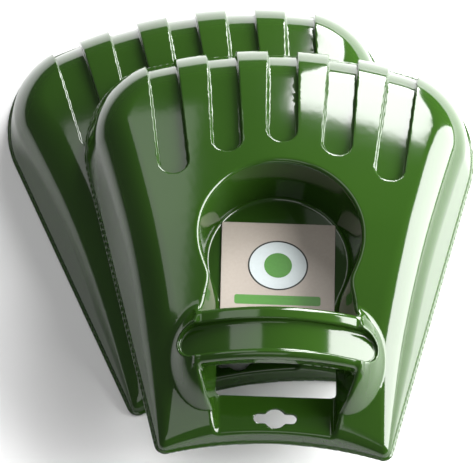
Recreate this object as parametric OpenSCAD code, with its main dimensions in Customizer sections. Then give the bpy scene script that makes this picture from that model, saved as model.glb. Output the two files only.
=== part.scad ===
// Leaf grabber hands: two equal moulded hand scoops, one lying on the other, and a loose printed card.
// Each scoop lies mouth down: +Z is the domed back of the hand, +Y points to the finger tips.

/* [Scoop] */
// Width between the two straight sides, where they run into the finger shoulders
shoulder_width = 350; // [340:1:360]
// Length from the wrist corners to the middle finger tip
length = 392; // [380:1:402]
// Distance between the two wrist corners
wrist_width = 196; // [186:1:206]
// How far the wrist edge arches in towards the fingers
wrist_arch = 14.5; // [8:0.5:20]
// Height of the crown above the rim
crown_height = 75; // [68:1:80]
// Moulded wall thickness
wall = 2.5; // [2:0.1:3]
// Radius of the rounded finger shoulders in plan
shoulder_radius = 76; // [70:1:90]

/* [Finger grooves] */
// Width of each groove between two fingers
groove_width = 25.5; // [20:0.5:28]
// Depth of the groove floor below the finger
groove_depth = 6; // [3:0.5:8]
// Angle between one groove and the next
groove_fan = 3.4; // [2:0.1:4]

/* [Palm trough] */
// Half width of the trough floor at the wrist
trough_half = 51; // [45:1:54]
// Radius of the round end of the trough floor
pocket_radius = 62; // [58:1:66]
// Draft of the pocket's walls
trough_draft = 8; // [5:1:12]
// Draft of the trough's walls between the wrist and the bar
wrist_draft = 20; // [16:1:22]

/* [Handle bar] */
// Height of the bar's crest above the rim
bar_crest = 80; // [76:1:86]
// Near edge of the bar, measured from the wrist corners
bar_near = 57; // [54:1:60]
// Far edge of the bar
bar_far = 106; // [102:1:108]
// Depth of the finger channel along the bar
channel_depth = 5; // [3:0.5:6]

/* [Hanging slot] */
// Overall width of the slot
slot_width = 36.5; // [30:0.5:42]
// Diameter of the round middle of the slot
slot_hub = 18.2; // [14:0.2:20]
// Height of the slot's arms
slot_arm = 8.7; // [6:0.1:10]

/* [Card] */
// Side of the square card
card_size = 98; // [80:1:100]
// Thickness of the card
card_thick = 1.2; // [0.6:0.1:2]

/* [Hidden] */
leaf_green = "#3f7a2a";
card_beige = "#b3a89c";

shoulder_at = 302;                       // distance of the shoulders from the wrist corners
side_lean = (shoulder_width - wrist_width) / (2 * shoulder_at);
side_cos = 1 / sqrt(1 + side_lean * side_lean);
tip_radius = 400;                        // plan curve of the finger tips
wrist_radius = (pow(wrist_width / 2, 2) + pow(wrist_arch, 2)) / (2 * wrist_arch);
corner_radius = 8;                       // small round at the wrist corners
wall_rise = 4;                           // mm of height gained for each mm in from the rim, at the sides
tip_rise = 3.3;                          // the same at the finger tips, which slope more gently
tips_from = 290;                         // where the sides start to turn into the finger tips
tips_full = 370;
lip_out = 1.5;                           // bead around the rim
lip_high = 2.4;

wrist_height = 12;                       // height of the back at the wrist edge
crown_at = 200;                          // where the crown reaches its full height
tip_drop = 20;                           // how much the crown falls towards the finger tips
side_sag = 12;                           // how much the crown falls at sag_at from the middle
sag_at = 150;
fillet_wrist = 6;                        // radius between side and crown, at the wrist
fillet_more = 27;                        // how much larger it is from fillet_full on
fillet_full = 90;
fillet_tips = 19;                        // and larger again at the finger tips
foot_blend = 10;                         // softness of the feet where they meet the crown
foot_taper = 1.4;                        // how much narrower a foot is inside, for each mm of wall
foot = [58, 82];                         // middle of each foot of the bar
foot_size = [38, 52];
foot_height = 74;
foot_round = 0.6;                        // below 1 the foot's sides stand steeper than its top
centre = [0, 190];                       // every ray of the outline starts here

pocket_y = 178;                          // middle of the round end of the trough
panel_height = 13.5;                     // height of the hanging panel
pocket_floor = 18;                       // height of the pocket floor
window_near = 52;                        // the window under the bar
window_far = 109;
bar_fall = 10;                           // how much the bar's crest falls over one foot's distance
bar_side = 14;                           // depth of the bar's side skirts
bar_round = 3;                           // rounding of the bar's two long edges
bar_overrun = 19;                        // how far the bar runs into the trough's walls
bar_open = 20;                           // the bar's hollow goes this much lower than its skirts
bar_steps = 12;
channel_near = 64;
channel_far = 92.5;
channel_end = 84;                        // half length of the channel
channel_fall = 12.5;                     // how much its floor falls over one foot's distance
channel_steps = 16;
slot_y = 31;
card_y = 166;
card_gap = 0.3;

groove_count = 5;
groove_start_x = [-93, -47.5, 0, 47.5, 93];
groove_start_y = [247, 269, 280, 269, 247];
groove_run = 160;                        // longer than the way to the finger tips
groove_side = 0.65;                      // inset of the groove floors, for each mm of their depth

above = 110;                             // higher than any part of a scoop
below = 2;                               // how far a cutter starts below the rim
trough_start = -30;                      // the trough runs out past the wrist edge
arc_steps = 21;                          // odd, so that the trough's outline pairs up left and right
// Rays of the dome's mesh, closer together where they cross a wrist corner and a foot of the bar.
ray_angles = [each [0 : 6 : 234], each [238 : 1.25 : 248], each [252 : 6 : 288], each [292 : 1.25 : 302],
    each [306 : 6 : 354]];
// Rings of the dome's mesh, as shares of the way from the rim to the centre.
ring_steps = [0.015, 0.04, 0.07, 0.11, 0.16, 0.22, 0.28, 0.34, 0.4, 0.46, 0.54, 0.64, 0.8];

// Where the front scoop lies on the rear one: it leans on the rear one's crown and bar.
pair_offset = [-31.17, -144.19];          // puts the middle of the pair over the origin
front_shift = [14.4, -90.2, 58.4];
front_turn = [1.5, 5, -9.6];

// ---- plan outline: distance in from the rim, positive inside ----
function round_min(a, b, r) =
    max(r, min(a, b)) - norm([max(r - a, 0), max(r - b, 0)]);
function side_gap(x, y) = (wrist_width / 2 + side_lean * y - abs(x)) * side_cos;
function tip_gap(x, y) = tip_radius - norm([x, y - length + tip_radius]);
function wrist_gap(x, y) = norm([x, y - wrist_arch + wrist_radius]) - wrist_radius;
function edge(x, y) =
    round_min(round_min(side_gap(x, y), tip_gap(x, y), shoulder_radius), wrist_gap(x, y), corner_radius);

// ---- height of the back over the plan ----
function smooth_min(a, b, k) = min(a, b) - pow(max(k - abs(a - b), 0), 2) / (4 * k);
function smooth_max(a, b, k) = -smooth_min(-a, -b, k);
function crown(x, y) =
    wrist_height + (crown_height - wrist_height) * sin(90 * min(1, max(0, y) / crown_at))
    - tip_drop * pow(max(0, y - crown_at) / (length - crown_at), 2) - side_sag * pow(x / sag_at, 2);
function foot_bump(x, y, in) =
    let (q = pow((abs(x) - foot[0]) / (foot_size[0] - in), 2) + pow((y - foot[1]) / (foot_size[1] - in), 2))
    q < 1 ? wrist_height + (foot_height - wrist_height) * pow(1 - q, foot_round) : 0;
function tip_share(y) =
    let (t = min(1, max(0, y - tips_from) / (tips_full - tips_from)))
    t * t * (3 - 2 * t);
function fillet(y) =
    fillet_wrist + fillet_more * min(1, max(0, y) / fillet_full) + fillet_tips * tip_share(y);
function rise(y) = wall_rise + (tip_rise - wall_rise) * tip_share(y);
// A side that climbs by m for each mm in from the rim and turns into the top by an arc of radius r.
function shoulder(in, top, m, r) =
    let (slant = sqrt(1 + m * m), arc_end = (r * (slant - 1) + top) / m, arc_start = arc_end - r * m / slant)
    in <= arc_start ? m * in : in >= arc_end ? top : top - r + sqrt(r * r - pow(arc_end - in, 2));
function back(x, y, in, down) =
    let (top = smooth_max(crown(x, y), foot_bump(x, y, in * foot_taper), foot_blend) - down)
    max(0, shoulder(edge(x, y) - in, top, rise(y), fillet(y)));

// ---- rays from the centre out to where edge() has a given value ----
function reach(a, target, low, high, n) =
    n == 0 ? (low + high) / 2 :
    let (mid = (low + high) / 2)
    edge(centre[0] + mid * cos(a), centre[1] + mid * sin(a)) > target
        ? reach(a, target, mid, high, n - 1) : reach(a, target, low, mid, n - 1);
function rim(target) =
    [for (a = ray_angles) let (r = reach(a, target, 60, 260, 22))
        [centre[0] + r * cos(a), centre[1] + r * sin(a)]];
function at_height(points, z) = [for (p = points) [p[0], p[1], z]];

// A closed solid from a stack of rings of equal length, with a single point above and below.
module ring_solid(rings, top) {
    n = len(rings[0]);
    m = len(rings);
    points = concat([for (r = rings, p = r) p], [top, [top[0], top[1], rings[0][0][2]]]);
    sides = [for (j = [0 : m - 2], i = [0 : n - 1]) let (k = (i + 1) % n)
        each [[j * n + i, (j + 1) * n + i, (j + 1) * n + k], [j * n + i, (j + 1) * n + k, j * n + k]]];
    cap = [for (i = [0 : n - 1]) [(m - 1) * n + i, m * n, (m - 1) * n + (i + 1) % n]];
    base = [for (i = [0 : n - 1]) [m * n + 1, i, (i + 1) % n]];
    polyhedron(points, concat(sides, cap, base), convexity = 6);
}

// The domed back as a solid: in is the inset from the rim, down the drop of the crown.
module dome(in, down, floor_z) {
    outline = rim(in);
    rings = [for (t = ring_steps)
        [for (p = outline) let (q = p * (1 - t) + centre * t) [q[0], q[1], back(q[0], q[1], in, down)]]];
    top = [centre[0], centre[1], back(centre[0], centre[1], in, down)];
    ring_solid(concat([at_height(outline, floor_z)], rings), top);
}

module rim_lip() {
    linear_extrude(lip_high) polygon(rim(-lip_out));
}

// One groove: a round-ended slot that runs out past the finger tips.
module groove(i, grow) {
    turn = (i - (groove_count - 1) / 2) * groove_fan;
    start = [groove_start_x[i], groove_start_y[i]];
    translate([start[0], start[1], -below]) rotate([0, 0, -turn]) hull() {
        cylinder(h = above, r = groove_width / 2 + grow, $fn = 24);
        translate([0, groove_run, 0]) cylinder(h = above, r = groove_width / 2 + grow, $fn = 24);
    }
}

// The dome with its grooves sunk in.
module grooved_dome(in, down, floor_z, grow) {
    difference() {
        dome(in, down, floor_z);
        for (i = [0 : groove_count - 1]) groove(i, grow);
    }
    dome(in + groove_depth * groove_side, down + groove_depth, floor_z);
}

// ---- the trough from the wrist to the round pocket ----
function trough_outline(grow, splay) =
    let (half = trough_half + grow, lane = half + splay, r = pocket_radius + grow, a = acos(half / r))
    concat([[lane, trough_start], [lane, window_near], [lane, window_far]],
        [for (i = [0 : arc_steps]) let (b = -a + i * (180 + 2 * a) / arc_steps)
            [r * cos(b), pocket_y + r * sin(b)]],
        [[-lane, window_far], [-lane, window_near], [-lane, trough_start]]);
function trough_floor(y) =
    panel_height + (pocket_floor - panel_height)
    * min(1, max(0, (y - window_near) / (window_far - window_near)));

module trough(grow, drop) {
    height = above - pocket_floor;
    low = trough_outline(grow, 0);
    high = trough_outline(grow + height * tan(trough_draft), height * (tan(wrist_draft) - tan(trough_draft)));
    n = len(low);
    points = concat([for (p = low) [p[0], p[1], trough_floor(p[1]) - drop]], at_height(high, above));
    sides = [for (i = [0 : n - 1]) let (k = (i + 1) % n) each [[i, i + n, k + n], [i, k + n, k]]];
    strips = [for (i = [0 : n / 2 - 2]) let (j = n - 1 - i)
        each [[i, i + 1, j], [i + 1, j - 1, j]]];
    lids = [for (t = strips) [t[2] + n, t[1] + n, t[0] + n]];
    polyhedron(points, concat(sides, strips, lids), convexity = 6);
}

// ---- the bar across the trough ----
function bar_height(x) = bar_crest - bar_fall * pow(x / foot[0], 2);

// A band that follows the bar's crest: a chain of equal sections across X.
module crest_band(half, section) {
    n = len(section);
    points = [for (j = [0 : bar_steps]) let (x = half * (2 * j / bar_steps - 1))
        for (s = section) [x, s[0], bar_height(x) + s[1]]];
    sides = [for (j = [0 : bar_steps - 1], i = [0 : n - 1]) let (k = (i + 1) % n, a = j * n, b = a + n)
        each [[a + i, b + k, b + i], [a + i, a + k, b + k]]];
    polyhedron(points, concat(sides, [[for (i = [n - 1 : -1 : 0]) i]],
        [[for (i = [0 : n - 1]) bar_steps * n + i]]), convexity = 6);
}

module bar_block(shrink, drop) {
    near = bar_near + shrink;
    far = bar_far - shrink;
    crest_band(trough_half + bar_overrun, [
        [near, -bar_side - drop], [near, -bar_round - shrink], [near + bar_round, -shrink],
        [far - bar_round, -shrink], [far, -bar_round - shrink], [far, -bar_side - drop]]);
}

// The finger channel along the top of the bar: a round-ended cut with a curved floor.
module channel(grow) {
    half = channel_end + grow;
    middle = (channel_near + channel_far) / 2;
    round = (channel_far - channel_near) / 2 + grow;
    top = bar_crest - channel_depth - grow;
    floor_line = [for (j = [0 : channel_steps]) let (x = (half + below) * (2 * j / channel_steps - 1))
        [x, top - channel_fall * pow(x / foot[0], 2)]];
    difference() {
        linear_extrude(above) hull() for (s = [-1, 1])
            translate([s * (half - round), middle]) circle(r = round, $fn = 24);
        translate([0, bar_far, 0]) rotate([90, 0, 0]) linear_extrude(bar_far - bar_near)
            polygon(concat([[half + below, -below], [-half - below, -below]], floor_line));
    }
}

module hanging_slot() {
    translate([0, slot_y, -below]) {
        cylinder(h = bar_near, d = slot_hub, $fn = 32);
        hull() for (s = [-1, 1]) translate([s * (slot_width - slot_arm) / 2, 0, 0])
            cylinder(h = bar_near, d = slot_arm, $fn = 20);
    }
}

// The window that passes through the trough's floor under the bar.
module window() {
    translate([-trough_half, window_near, -below])
        cube([2 * trough_half, window_far - window_near, pocket_floor + 2 * below]);
}

module scoop() {
    difference() {
        union() {
            difference() {
                union() {
                    grooved_dome(0, 0, 0, 0);
                    rim_lip();
                }
                trough(0, 0);
            }
            bar_block(0, 0);
        }
        channel(0);
        difference() {
            union() {
                difference() {
                    grooved_dome(wall, wall, -below, wall);
                    trough(wall, wall);
                }
                intersection() {
                    bar_block(wall, bar_open);
                    trough(0, 0);
                }
            }
            channel(wall);
        }
        window();
        hanging_slot();
    }
}

module place_rear() {
    translate([pair_offset[0], pair_offset[1], 0]) children();
}

module place_front() {
    place_rear() translate(front_shift)
        rotate([0, 0, front_turn[2]]) rotate([0, front_turn[1], 0]) rotate([front_turn[0], 0, 0]) children();
}

module rear_scoop() {
    color(leaf_green) place_rear() scoop();
}

module front_scoop() {
    color(leaf_green) place_front() scoop();
}

module label_card() {
    color(card_beige) place_front() translate([0, card_y, pocket_floor + card_gap])
        linear_extrude(card_thick) square(card_size, center = true);
}

rear_scoop();
front_scoop();
label_card();
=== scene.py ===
"""Leaf grabber hands: two glossy moulded scoops, one lying on the other, and a loose printed card.

Each scoop is rebuilt as a fine smooth mesh from the same shape rules as the CAD part. The rules give, for
any point, about how deep it lies in the plastic: a positive depth is inside, in millimetres. The
surface where the depth is zero becomes the mesh, and the slope of the depth gives its shading normals.
"""

import math

import bmesh
import bpy
import numpy as np
from mathutils import Matrix, Vector


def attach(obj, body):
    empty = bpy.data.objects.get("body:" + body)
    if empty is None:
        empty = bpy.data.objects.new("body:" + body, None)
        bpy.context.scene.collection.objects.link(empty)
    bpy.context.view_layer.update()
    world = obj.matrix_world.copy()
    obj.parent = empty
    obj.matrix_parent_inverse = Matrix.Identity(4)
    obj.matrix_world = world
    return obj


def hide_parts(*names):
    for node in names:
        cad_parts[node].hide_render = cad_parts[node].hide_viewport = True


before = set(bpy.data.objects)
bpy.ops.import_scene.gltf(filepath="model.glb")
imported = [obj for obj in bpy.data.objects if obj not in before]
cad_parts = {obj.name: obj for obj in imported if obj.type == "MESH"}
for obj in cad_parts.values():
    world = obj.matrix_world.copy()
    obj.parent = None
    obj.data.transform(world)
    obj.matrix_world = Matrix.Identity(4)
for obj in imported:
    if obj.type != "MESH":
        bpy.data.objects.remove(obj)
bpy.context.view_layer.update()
MM = 0.001

# ---- the scoop's sizes, in mm, as in the CAD part ----
WRIST_WIDTH, WRIST_ARCH, WRIST_HEIGHT = 196, 14.5, 12
SHOULDER_WIDTH, SHOULDER_AT, SHOULDER_RADIUS = 350, 302, 76
LENGTH, TIP_RADIUS, TIP_DROP = 392, 400, 20
CORNER_RADIUS = 8
CROWN_HEIGHT, CROWN_AT = 75, 200
SIDE_SAG, SAG_AT = 12, 150
WALL, WALL_RISE, TIP_RISE, TIPS_FROM, TIPS_FULL = 2.5, 4, 3.3, 290, 370
LIP_OUT, LIP_HIGH = 1.5, 2.4
FILLET_WRIST, FILLET_MORE, FILLET_FULL, FILLET_TIPS = 6, 27, 90, 19
FOOT_X, FOOT_Y, FOOT_WIDE, FOOT_LONG, FOOT_HEIGHT = 58, 82, 38, 52, 74
FOOT_ROUND, FOOT_BLEND, FOOT_TAPER = 0.6, 10, 1.4
GROOVE_WIDTH, GROOVE_DEPTH, GROOVE_FAN, GROOVE_SIDE = 25.5, 6, 3.4, 0.65
GROOVE_STARTS = ((-93, 247), (-47.5, 269), (0, 280), (47.5, 269), (93, 247))
TROUGH_HALF, POCKET_RADIUS, POCKET_Y, TROUGH_DRAFT, WRIST_DRAFT = 51, 62, 178, 8, 20
PANEL_HEIGHT, POCKET_FLOOR, WINDOW_NEAR, WINDOW_FAR = 13.5, 18, 52, 109
BAR_CREST, BAR_FALL, BAR_NEAR, BAR_FAR, BAR_SIDE, BAR_OPEN = 80, 10, 57, 106, 14, 20
BAR_HALF = 70
CHANNEL_DEPTH, CHANNEL_FALL, CHANNEL_NEAR, CHANNEL_FAR, CHANNEL_END = 5, 12.5, 64, 92.5, 84
SLOT_WIDTH, SLOT_HUB, SLOT_ARM, SLOT_Y = 36.5, 18.2, 8.7, 31
CARD_SIZE, CARD_THICK, CARD_Y, CARD_GAP = 98, 1.2, 166, 0.3

# Where the two scoops lie, in mm and degrees.
PAIR_OFFSET = (-31.17, -144.19, 0)
FRONT_SHIFT = (14.4, -90.2, 58.4)
FRONT_TURN = (1.5, 5, -9.6)

# Softness of the moulding's edges, in mm.
GROOVE_EDGE, TROUGH_EDGE, TROUGH_CORNER, BAR_EDGE, BAR_BLEND = 1.6, 4, 3, 6, 4
CHANNEL_EDGE, CUT_EDGE, RIM_EDGE = 3, 0.7, 0.8
TROUGH_NECK, CHANNEL_BLEND, INNER_EDGE, WINDOW_CORNER, SLOT_CORNER = 8, 2.5, 1, 1.5, 1.5
CUT_ABOVE = 4

GRID = 1.45
SCOOP_FACES = 180000
FLATTEST = 0.2  # the least squared slope that settle() divides by


def smooth_min(a, b, k):
    return np.minimum(a, b) - np.maximum(k - np.abs(a - b), 0) ** 2 / (4 * k)


def smooth_max(a, b, k):
    return -smooth_min(-a, -b, k)


def round_min(a, b, r):
    return np.maximum(r, np.minimum(a, b)) - np.hypot(np.maximum(r - a, 0), np.maximum(r - b, 0))


def edge(x, y):
    """Distance in from the rim's outline, seen from above."""
    lean = (SHOULDER_WIDTH - WRIST_WIDTH) / (2 * SHOULDER_AT)
    wrist_radius = ((WRIST_WIDTH / 2) ** 2 + WRIST_ARCH**2) / (2 * WRIST_ARCH)
    side = (WRIST_WIDTH / 2 + lean * y - np.abs(x)) / math.hypot(1, lean)
    tip = TIP_RADIUS - np.hypot(x, y - LENGTH + TIP_RADIUS)
    wrist = np.hypot(x, y - WRIST_ARCH + wrist_radius) - wrist_radius
    return round_min(round_min(side, tip, SHOULDER_RADIUS), wrist, CORNER_RADIUS)


def shoulder(inset, top, climb, radius):
    """A side that climbs from the rim and turns into the top by an arc."""
    slant = np.sqrt(1 + climb**2)
    arc_end = (radius * (slant - 1) + top) / climb
    arc_start = arc_end - radius * climb / slant
    arc = top - radius + np.sqrt(np.maximum(radius**2 - (arc_end - inset) ** 2, 0))
    return np.where(inset <= arc_start, climb * inset, np.where(inset >= arc_end, top, arc))


def back(x, y, inset, drop):
    """Height of the domed back over the rim."""
    rise = np.sin(math.pi / 2 * np.clip(y / CROWN_AT, 0, 1))
    crown = WRIST_HEIGHT + (CROWN_HEIGHT - WRIST_HEIGHT) * rise
    crown = crown - TIP_DROP * (np.maximum(0, y - CROWN_AT) / (LENGTH - CROWN_AT)) ** 2
    crown = crown - SIDE_SAG * (x / SAG_AT) ** 2
    narrow = inset * FOOT_TAPER
    q = ((np.abs(x) - FOOT_X) / (FOOT_WIDE - narrow)) ** 2 + ((y - FOOT_Y) / (FOOT_LONG - narrow)) ** 2
    share = np.clip(1 - q, 0, 1) ** FOOT_ROUND
    foot = np.where(q < 1, WRIST_HEIGHT + (FOOT_HEIGHT - WRIST_HEIGHT) * share, 0)
    top = smooth_max(crown, foot, FOOT_BLEND) - drop
    tips = np.clip((y - TIPS_FROM) / (TIPS_FULL - TIPS_FROM), 0, 1)
    tips = tips * tips * (3 - 2 * tips)
    fillet = FILLET_WRIST + FILLET_MORE * np.clip(y / FILLET_FULL, 0, 1) + FILLET_TIPS * tips
    climb = WALL_RISE + (TIP_RISE - WALL_RISE) * tips
    return shoulder(edge(x, y) - inset, top, climb, fillet)


def dome(x, y, z, inset, drop):
    step = 0.5
    slope_x = (back(x + step, y, inset, drop) - back(x - step, y, inset, drop)) / (2 * step)
    slope_y = (back(x, y + step, inset, drop) - back(x, y - step, inset, drop)) / (2 * step)
    return (back(x, y, inset, drop) - z) / np.sqrt(1 + slope_x**2 + slope_y**2)


def grooves(x, y, grow):
    """Depth inside the nearest of the five round-ended grooves, seen from above."""
    deepest = None
    for i, (start_x, start_y) in enumerate(GROOVE_STARTS):
        turn = math.radians((i - (len(GROOVE_STARTS) - 1) / 2) * GROOVE_FAN)
        dx, dy = x - start_x, y - start_y
        along = dx * math.sin(turn) + dy * math.cos(turn)
        across = dx * math.cos(turn) - dy * math.sin(turn)
        depth = GROOVE_WIDTH / 2 + grow - np.hypot(across, np.minimum(along, 0))
        deepest = depth if deepest is None else np.maximum(deepest, depth)
    return deepest


def grooved_dome(x, y, z, wall):
    fingers = smooth_min(dome(x, y, z, wall, wall), -grooves(x, y, wall), GROOVE_EDGE)
    floors = dome(x, y, z, wall + GROOVE_DEPTH * GROOVE_SIDE, wall + GROOVE_DEPTH)
    return smooth_max(fingers, floors, GROOVE_EDGE)


def trough(x, y, z, grow, drop):
    """The hollow from the wrist to the round palm pocket."""
    draft = math.radians(TROUGH_DRAFT)
    more = math.tan(math.radians(WRIST_DRAFT)) - math.tan(draft)
    pocket_start = POCKET_Y - math.sqrt(POCKET_RADIUS**2 - TROUGH_HALF**2)
    near = np.clip((pocket_start - y) / (pocket_start - WINDOW_FAR), 0, 1)
    splay = (z - POCKET_FLOOR) * more * near
    lane = np.minimum(TROUGH_HALF + splay - np.abs(x), POCKET_Y - y)
    outline = smooth_max(lane, POCKET_RADIUS - np.hypot(x, y - POCKET_Y), TROUGH_NECK)
    walls = (outline + grow + (z - POCKET_FLOOR) * math.tan(draft)) * math.cos(draft)
    share = np.clip((y - WINDOW_NEAR) / (WINDOW_FAR - WINDOW_NEAR), 0, 1)
    floor = PANEL_HEIGHT + (POCKET_FLOOR - PANEL_HEIGHT) * share - drop
    return round_min(walls, z - floor, TROUGH_CORNER)


def bar(x, y, z, shrink, drop):
    crest = BAR_CREST - BAR_FALL * (x / FOOT_X) ** 2
    tilt = np.sqrt(1 + (2 * BAR_FALL * x / FOOT_X**2) ** 2)
    sides = np.minimum(y - BAR_NEAR, BAR_FAR - y) - shrink
    top = round_min(sides, (crest - shrink - z) / tilt, BAR_EDGE)
    skirt = (z - crest + BAR_SIDE + drop) / tilt
    return np.minimum(smooth_min(top, skirt, INNER_EDGE), BAR_HALF - np.abs(x))


def channel(x, y, z, grow):
    """The finger channel along the top of the bar."""
    middle, half = (CHANNEL_NEAR + CHANNEL_FAR) / 2, (CHANNEL_FAR - CHANNEL_NEAR) / 2
    outline = half + grow - np.hypot(np.maximum(np.abs(x) - CHANNEL_END + half, 0), y - middle)
    floor = BAR_CREST - CHANNEL_DEPTH - grow - CHANNEL_FALL * (x / FOOT_X) ** 2
    tilt = np.sqrt(1 + (2 * CHANNEL_FALL * x / FOOT_X**2) ** 2)
    return round_min(outline, (z - floor) / tilt, CHANNEL_EDGE)


def hanging_slot(x, y):
    hub = SLOT_HUB / 2 - np.hypot(x, y - SLOT_Y)
    reach = (SLOT_WIDTH - SLOT_ARM) / 2
    arms = SLOT_ARM / 2 - np.hypot(np.maximum(np.abs(x) - reach, 0), y - SLOT_Y)
    return smooth_max(hub, arms, SLOT_CORNER)


def plastic(x, y, z):
    """Depth inside one scoop's plastic, in its own frame."""
    outside = grooved_dome(x, y, z, 0)
    lip = round_min(edge(x, y) + LIP_OUT, LIP_HIGH - z, RIM_EDGE)
    outside = smooth_max(outside, lip, RIM_EDGE)
    outside = smooth_min(outside, -trough(x, y, z, 0, 0), TROUGH_EDGE)
    outside = smooth_max(outside, bar(x, y, z, 0, 0), BAR_BLEND)
    outside = smooth_min(outside, -channel(x, y, z, 0), CHANNEL_BLEND)
    inside = smooth_min(grooved_dome(x, y, z, WALL), -trough(x, y, z, WALL, WALL), INNER_EDGE)
    inside = smooth_max(inside, np.minimum(bar(x, y, z, WALL, BAR_OPEN), trough(x, y, z, 0, 0)), CUT_EDGE)
    inside = smooth_min(inside, -channel(x, y, z, WALL), INNER_EDGE)
    solid = smooth_min(outside, -inside, RIM_EDGE)
    window = round_min(TROUGH_HALF - np.abs(x), np.minimum(y - WINDOW_NEAR, WINDOW_FAR - y), WINDOW_CORNER)
    solid = smooth_min(solid, -np.minimum(window, POCKET_FLOOR + CUT_ABOVE - z), CUT_EDGE)
    solid = smooth_min(solid, -np.minimum(hanging_slot(x, y), POCKET_FLOOR + CUT_ABOVE - z), CUT_EDGE)
    return smooth_min(solid, z, CUT_EDGE)


def slope_of(points, step=0.2):
    """Slope of the depth at each point, by central differences."""
    slope = np.empty_like(points)
    for axis in range(3):
        shift = np.zeros(3)
        shift[axis] = step
        high, low = (points + shift).T, (points - shift).T
        slope[:, axis] = (plastic(*high) - plastic(*low)) / (2 * step)
    return slope


def settle(points, rounds):
    """Moves points onto the surface, each by at most half a grid step a round."""
    for _ in range(rounds):
        slope = slope_of(points)
        steep = np.maximum((slope**2).sum(1), FLATTEST)
        move = -(plastic(*points.T) / steep)[:, None] * slope
        length = np.linalg.norm(move, axis=1, keepdims=True)
        points = points + move * np.minimum(1, 0.5 * GRID / np.maximum(length, 1e-9))
    return points


def surface_net(depth, low):
    """Vertices and quads where depth changes sign on a grid whose first corner is low."""
    inside = depth > 0
    shape = np.array(depth.shape) - 1
    sums, counts = np.zeros((*shape, 3)), np.zeros(shape)
    corners = [(i, j, k) for i in (0, 1) for j in (0, 1) for k in (0, 1)]

    def part(array, corner):
        return array[tuple(slice(c, c + n) for c, n in zip(corner, shape))]

    for a in corners:
        for axis in range(3):
            if a[axis]:
                continue
            b = tuple(c + (n == axis) for n, c in enumerate(a))
            da, db = part(depth, a), part(depth, b)
            crossed = part(inside, a) != part(inside, b)
            share = np.where(crossed, da / np.where(crossed, da - db, 1), 0)
            for n in range(3):
                sums[..., n] += np.where(crossed, a[n] + share * (n == axis), 0)
            counts += crossed
    used = counts > 0
    number = np.full(used.shape, -1)
    number[used] = np.arange(used.sum())
    cells = np.argwhere(used)
    points = low + GRID * (cells + sums[used] / counts[used][:, None])
    quads = []
    for axis in range(3):
        u, v = (axis + 1) % 3, (axis + 2) % 3
        near = [slice(1, n) for n in shape]
        near[axis] = slice(0, shape[axis])
        far = list(near)
        far[axis] = slice(1, shape[axis] + 1)
        starts, ends = inside[tuple(near)], inside[tuple(far)]
        for change, turn in ((starts & ~ends, 1), (~starts & ends, -1)):
            at = np.argwhere(change)
            at[:, u] += 1
            at[:, v] += 1
            ring = []
            for du, dv in ((1, 1), (0, 1), (0, 0), (1, 0))[::turn]:
                cell = at.copy()
                cell[:, u] -= du
                cell[:, v] -= dv
                ring.append(number[tuple(cell.T)])
            quads.append(np.stack(ring, 1))
    return points, np.concatenate(quads)


def grid_depth():
    half = SHOULDER_WIDTH / 2
    low = np.array([-half, -2 * GRID, -2 * GRID])
    high = np.array([half, LENGTH + 3 * GRID, BAR_CREST + 3 * GRID])
    x, y, z = (np.arange(a, b, GRID) for a, b in zip(low, high))
    depth = np.concatenate(
        [plastic(part[:, None, None], y[None, :, None], z[None, None, :]) for part in np.array_split(x, 8)]
    )
    return depth, low


def scoop_mesh():
    """One scoop's mesh in its own frame, in mm, and its shading normals."""
    points, quads = surface_net(*grid_depth())
    points = settle(points, 2)
    mesh = bpy.data.meshes.new("scoop_fine")
    mesh.from_pydata(points.tolist(), [], quads.tolist())
    helper = bpy.data.objects.new("scoop_helper", mesh)
    bpy.context.scene.collection.objects.link(helper)
    reduce = helper.modifiers.new("reduce", "DECIMATE")
    reduce.ratio = min(1, SCOOP_FACES / (2 * len(quads)))
    evaluated = helper.evaluated_get(bpy.context.evaluated_depsgraph_get())
    small = bpy.data.meshes.new_from_object(evaluated)
    bpy.data.objects.remove(helper)
    found = np.empty(len(small.vertices) * 3)
    small.vertices.foreach_get("co", found)
    points = settle(found.reshape(-1, 3), 2)
    small.vertices.foreach_set("co", points.ravel())
    slope = slope_of(points)
    normals = -slope / np.maximum(np.linalg.norm(slope, axis=1, keepdims=True), 1e-9)
    return small, normals


def turn(axis, degrees):
    return Matrix.Rotation(math.radians(degrees), 4, axis)


PLACE_REAR = Matrix.Translation(Vector(PAIR_OFFSET) * MM)
PLACE_FRONT = (
    PLACE_REAR
    @ Matrix.Translation(Vector(FRONT_SHIFT) * MM)
    @ turn("Z", FRONT_TURN[2])
    @ turn("Y", FRONT_TURN[1])
    @ turn("X", FRONT_TURN[0])
)


def add_object(name, mesh, material, body):
    piece = bpy.data.objects.new(name, mesh)
    bpy.context.scene.collection.objects.link(piece)
    mesh.materials.append(material)
    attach(piece, body)
    return piece


# ---- materials ----
def new_material(name):
    material = bpy.data.materials.new(name)
    material.use_nodes = True
    nodes = material.node_tree.nodes
    return material, nodes, material.node_tree.links, nodes["Principled BSDF"]


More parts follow.
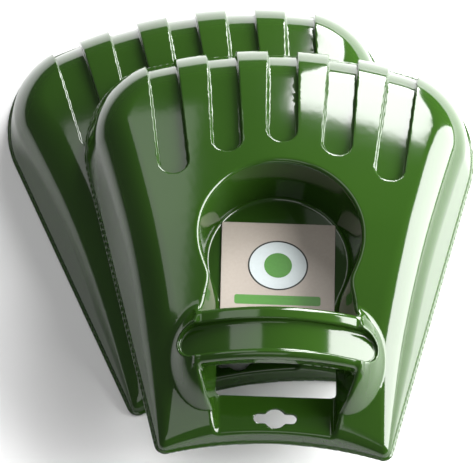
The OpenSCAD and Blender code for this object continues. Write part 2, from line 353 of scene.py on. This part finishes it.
def scoop_plastic():
    """Deep green moulded plastic: a high gloss with a very faint orange peel, a little uneven in tint."""
    material, nodes, links, shader = new_material("scoop_plastic")
    place = nodes.new("ShaderNodeTexCoord")
    tint = nodes.new("ShaderNodeTexNoise")
    tint.inputs["Scale"].default_value = 9
    tint.inputs["Detail"].default_value = 2
    ramp = nodes.new("ShaderNodeValToRGB")
    ramp.color_ramp.elements[0].position = 0.3
    ramp.color_ramp.elements[0].color = (0.0130, 0.0400, 0.0036, 1)
    ramp.color_ramp.elements[1].position = 0.7
    ramp.color_ramp.elements[1].color = (0.0155, 0.0450, 0.0044, 1)
    links.new(place.outputs["Object"], tint.inputs["Vector"])
    links.new(tint.outputs["Fac"], ramp.inputs["Fac"])
    links.new(ramp.outputs["Color"], shader.inputs["Base Color"])
    haze = nodes.new("ShaderNodeTexNoise")
    haze.inputs["Scale"].default_value = 60
    haze.inputs["Detail"].default_value = 4
    gloss = nodes.new("ShaderNodeMapRange")
    gloss.inputs["To Min"].default_value = 0.07
    gloss.inputs["To Max"].default_value = 0.11
    links.new(place.outputs["Object"], haze.inputs["Vector"])
    links.new(haze.outputs["Fac"], gloss.inputs["Value"])
    links.new(gloss.outputs["Result"], shader.inputs["Roughness"])
    peel = nodes.new("ShaderNodeTexNoise")
    peel.inputs["Scale"].default_value = 110
    peel.inputs["Detail"].default_value = 1
    bump = nodes.new("ShaderNodeBump")
    bump.inputs["Strength"].default_value = 0.03
    bump.inputs["Distance"].default_value = 0.001
    links.new(place.outputs["Object"], peel.inputs["Vector"])
    links.new(peel.outputs["Fac"], bump.inputs["Height"])
    links.new(bump.outputs["Normal"], shader.inputs["Normal"])
    shader.inputs["IOR"].default_value = 1.5
    return material


def plain(name, color, roughness, grain=0.0, grain_scale=400):
    """A printed or painted surface: a colour with a fine fleck, and a satin gloss."""
    material, nodes, links, shader = new_material(name)
    place = nodes.new("ShaderNodeTexCoord")
    fleck = nodes.new("ShaderNodeTexNoise")
    fleck.inputs["Scale"].default_value = grain_scale
    fleck.inputs["Detail"].default_value = 3
    ramp = nodes.new("ShaderNodeValToRGB")
    for element, share in zip(ramp.color_ramp.elements, (1 - grain, 1 + grain)):
        element.color = (*[min(1, c * share) for c in color], 1)
    ramp.color_ramp.elements[0].position = 0.3
    ramp.color_ramp.elements[1].position = 0.7
    links.new(place.outputs["Object"], fleck.inputs["Vector"])
    links.new(fleck.outputs["Fac"], ramp.inputs["Fac"])
    links.new(ramp.outputs["Color"], shader.inputs["Base Color"])
    shader.inputs["Roughness"].default_value = roughness
    return material


# ---- the scoops ----
green = scoop_plastic()
base_mesh, base_normals = scoop_mesh()
for node, name, body, place in (
    ("rear_scoop", "rear_scoop_moulding", "rear_hand", PLACE_REAR),
    ("front_scoop", "front_scoop_moulding", "front_hand", PLACE_FRONT),
):
    mesh = base_mesh.copy()
    mesh.name = name
    mesh.transform(place @ Matrix.Scale(MM, 4))
    mesh.shade_smooth()
    rotation = np.array(place.to_3x3())
    mesh.normals_split_custom_set_from_vertices((base_normals @ rotation.T).tolist())
    scoop = add_object(name, mesh, green, body)
    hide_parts(node)


# ---- the card ----
def plate(name, outline, low, high, material, round_edge=0.0):
    """A flat plate over the outline, in the front scoop's frame in mm, that rides with the card."""
    shape = bmesh.new()
    points = [shape.verts.new((x, y, low)) for x, y in outline]
    face = shape.faces.new(points)
    grown = bmesh.ops.extrude_face_region(shape, geom=[face])
    risen = [g for g in grown["geom"] if isinstance(g, bmesh.types.BMVert)]
    bmesh.ops.translate(shape, verts=risen, vec=(0, 0, high - low))
    if round_edge:
        flat = [e for e in shape.edges if abs(e.verts[0].co.z - e.verts[1].co.z) < 1e-6]
        bmesh.ops.bevel(shape, geom=flat, offset=round_edge, segments=2, affect="EDGES", profile=0.5)
    bmesh.ops.recalc_face_normals(shape, faces=shape.faces)
    mesh = bpy.data.meshes.new(name)
    shape.to_mesh(mesh)
    shape.free()
    mesh.transform(PLACE_FRONT @ Matrix.Scale(MM, 4))
    piece = add_object(name, mesh, material, "card")
    return piece


def rounded_box(x, y, width, height, radius, steps=6):
    points = []
    for corner, (sx, sy) in enumerate(((1, 1), (-1, 1), (-1, -1), (1, -1))):
        for i in range(steps + 1):
            angle = math.radians(90 * (corner + i / steps))
            cx, cy = x + sx * (width / 2 - radius), y + sy * (height / 2 - radius)
            points.append((cx + radius * math.cos(angle), cy + radius * math.sin(angle)))
    return points


def oval(x, y, half_width, half_height, steps=72):
    angles = [2 * math.pi * i / steps for i in range(steps)]
    return [(x + half_width * math.cos(a), y + half_height * math.sin(a)) for a in angles]


CARD_TOP = POCKET_FLOOR + CARD_GAP + CARD_THICK
INK = 0.05
card_paper = plain("card_paper", (0.36, 0.315, 0.275), 0.42, 0.03)
ink_dark = plain("ink_dark", (0.012, 0.014, 0.012), 0.4, 0.05)
ink_pale = plain("ink_pale", (0.50, 0.55, 0.56), 0.4, 0.02)
ink_green = plain("ink_green", (0.06, 0.20, 0.03), 0.4, 0.04)
board = plate(
    "card_board",
    rounded_box(0, CARD_Y, CARD_SIZE, CARD_SIZE, 1.5),
    POCKET_FLOOR + CARD_GAP,
    CARD_TOP,
    card_paper,
    0.2,
)
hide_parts("label_card")
BADGE_Y = CARD_Y + 8
plate("badge_outline", oval(0, BADGE_Y, 26, 24), CARD_TOP, CARD_TOP + INK, ink_dark)
plate("badge_field", oval(0, BADGE_Y, 24.6, 22.6), CARD_TOP + INK, CARD_TOP + 2 * INK, ink_pale)
plate("badge_disc", oval(0, BADGE_Y, 12, 12), CARD_TOP + 2 * INK, CARD_TOP + 3 * INK, ink_green)
STRIPE_Y = CARD_Y - 25.5
plate("card_stripe", rounded_box(0, STRIPE_Y, 74, 9, 2), CARD_TOP, CARD_TOP + INK, ink_green)

# ---- camera: above the front scoop's palm, looking down at it from the wrist ----
CAMERA_AZIMUTH, CAMERA_ELEVATION, CAMERA_ROLL = 2.6, 62, 4.24
CAMERA_DISTANCE, CAMERA_LENS = 3825, 338.4
CAMERA_AIM = Vector((0, 172.7, 28.7))
CAMERA_SLIDE_RIGHT, CAMERA_SLIDE_UP = -35.6, 26.1

azimuth, elevation, roll = (math.radians(a) for a in (CAMERA_AZIMUTH, CAMERA_ELEVATION, CAMERA_ROLL))
away = Vector(
    (
        -math.sin(azimuth) * math.cos(elevation),
        -math.cos(azimuth) * math.cos(elevation),
        math.sin(elevation),
    )
)
level = (-away).cross(Vector((0, 0, 1))).normalized()
upright = level.cross(-away)
right = math.cos(roll) * level + math.sin(roll) * upright
up = -math.sin(roll) * level + math.cos(roll) * upright
eye = CAMERA_AIM + away * CAMERA_DISTANCE + right * CAMERA_SLIDE_RIGHT + up * CAMERA_SLIDE_UP
to_world = PLACE_FRONT.to_3x3()
camera_data = bpy.data.cameras.new("camera")
camera_data.lens, camera_data.sensor_width = CAMERA_LENS, 36
camera_data.clip_end = 100
camera = bpy.data.objects.new("camera", camera_data)
bpy.context.scene.collection.objects.link(camera)
turned = Matrix((to_world @ right, to_world @ up, to_world @ away)).transposed().to_4x4()
camera.matrix_world = Matrix.Translation(PLACE_FRONT @ (eye * MM)) @ turned
bpy.context.scene.camera = camera

# ---- floor, world and lights ----
FLOOR_REACH = 6
floor_mesh = bpy.data.meshes.new("floor")
corners = [(-1, -1), (1, -1), (1, 1), (-1, 1)]
floor_mesh.from_pydata([(x * FLOOR_REACH, y * FLOOR_REACH, 0) for x, y in corners], [], [(0, 1, 2, 3)])
floor = bpy.data.objects.new("floor", floor_mesh)
floor.location.z = -0.001
bpy.context.scene.collection.objects.link(floor)
floor_mesh.materials.append(plain("floor_paint", (0.90, 0.90, 0.90), 0.9))

world = bpy.data.worlds.new("studio")
world.use_nodes = True
world.node_tree.nodes["Background"].inputs["Color"].default_value = (1, 1, 1, 1)
world.node_tree.nodes["Background"].inputs["Strength"].default_value = 0.14
bpy.context.scene.world = world
bpy.context.scene.view_settings.view_transform = "Standard"

OVERHEAD = 0.95  # a light this nearly straight above has no level edge


def softbox(name, place, aim, width, height, power):
    """A rectangular light, given in the front scoop's frame in metres, so that it mirrors where it should.

    Its top edge stays level, or, for a light straight overhead, points to the finger tips.
    """
    data = bpy.data.lights.new(name, "AREA")
    data.shape = "RECTANGLE"
    data.size, data.size_y, data.energy = width, height, power
    light = bpy.data.objects.new(name, data)
    behind = (Vector(place) - Vector(aim)).normalized()
    hint = Vector((0, 1, 0)) if behind.z > OVERHEAD else Vector((0, 0, 1))
    side = hint.cross(behind).normalized()
    axes = [to_world @ axis for axis in (side, behind.cross(side), behind)]
    light.matrix_world = Matrix.Translation(PLACE_FRONT @ Vector(place)) @ Matrix(axes).transposed().to_4x4()
    bpy.context.scene.collection.objects.link(light)


softbox("right_window", (1.48, 0.38, 0.77), (0.16, 0.10, 0.07), 2.00, 1.35, 150)
softbox("far_window", (0.42, 1.74, 0.75), (0.07, 0.38, 0.06), 0.55, 1.40, 52)
softbox("left_panel", (-0.77, 0.87, 1.87), (-0.77, 0.87, 0), 0.84, 2.20, 12)
softbox("camera_fill", (-0.3, -1.5, 2.2), (0, 0.15, 0.05), 1.2, 1.2, 8)
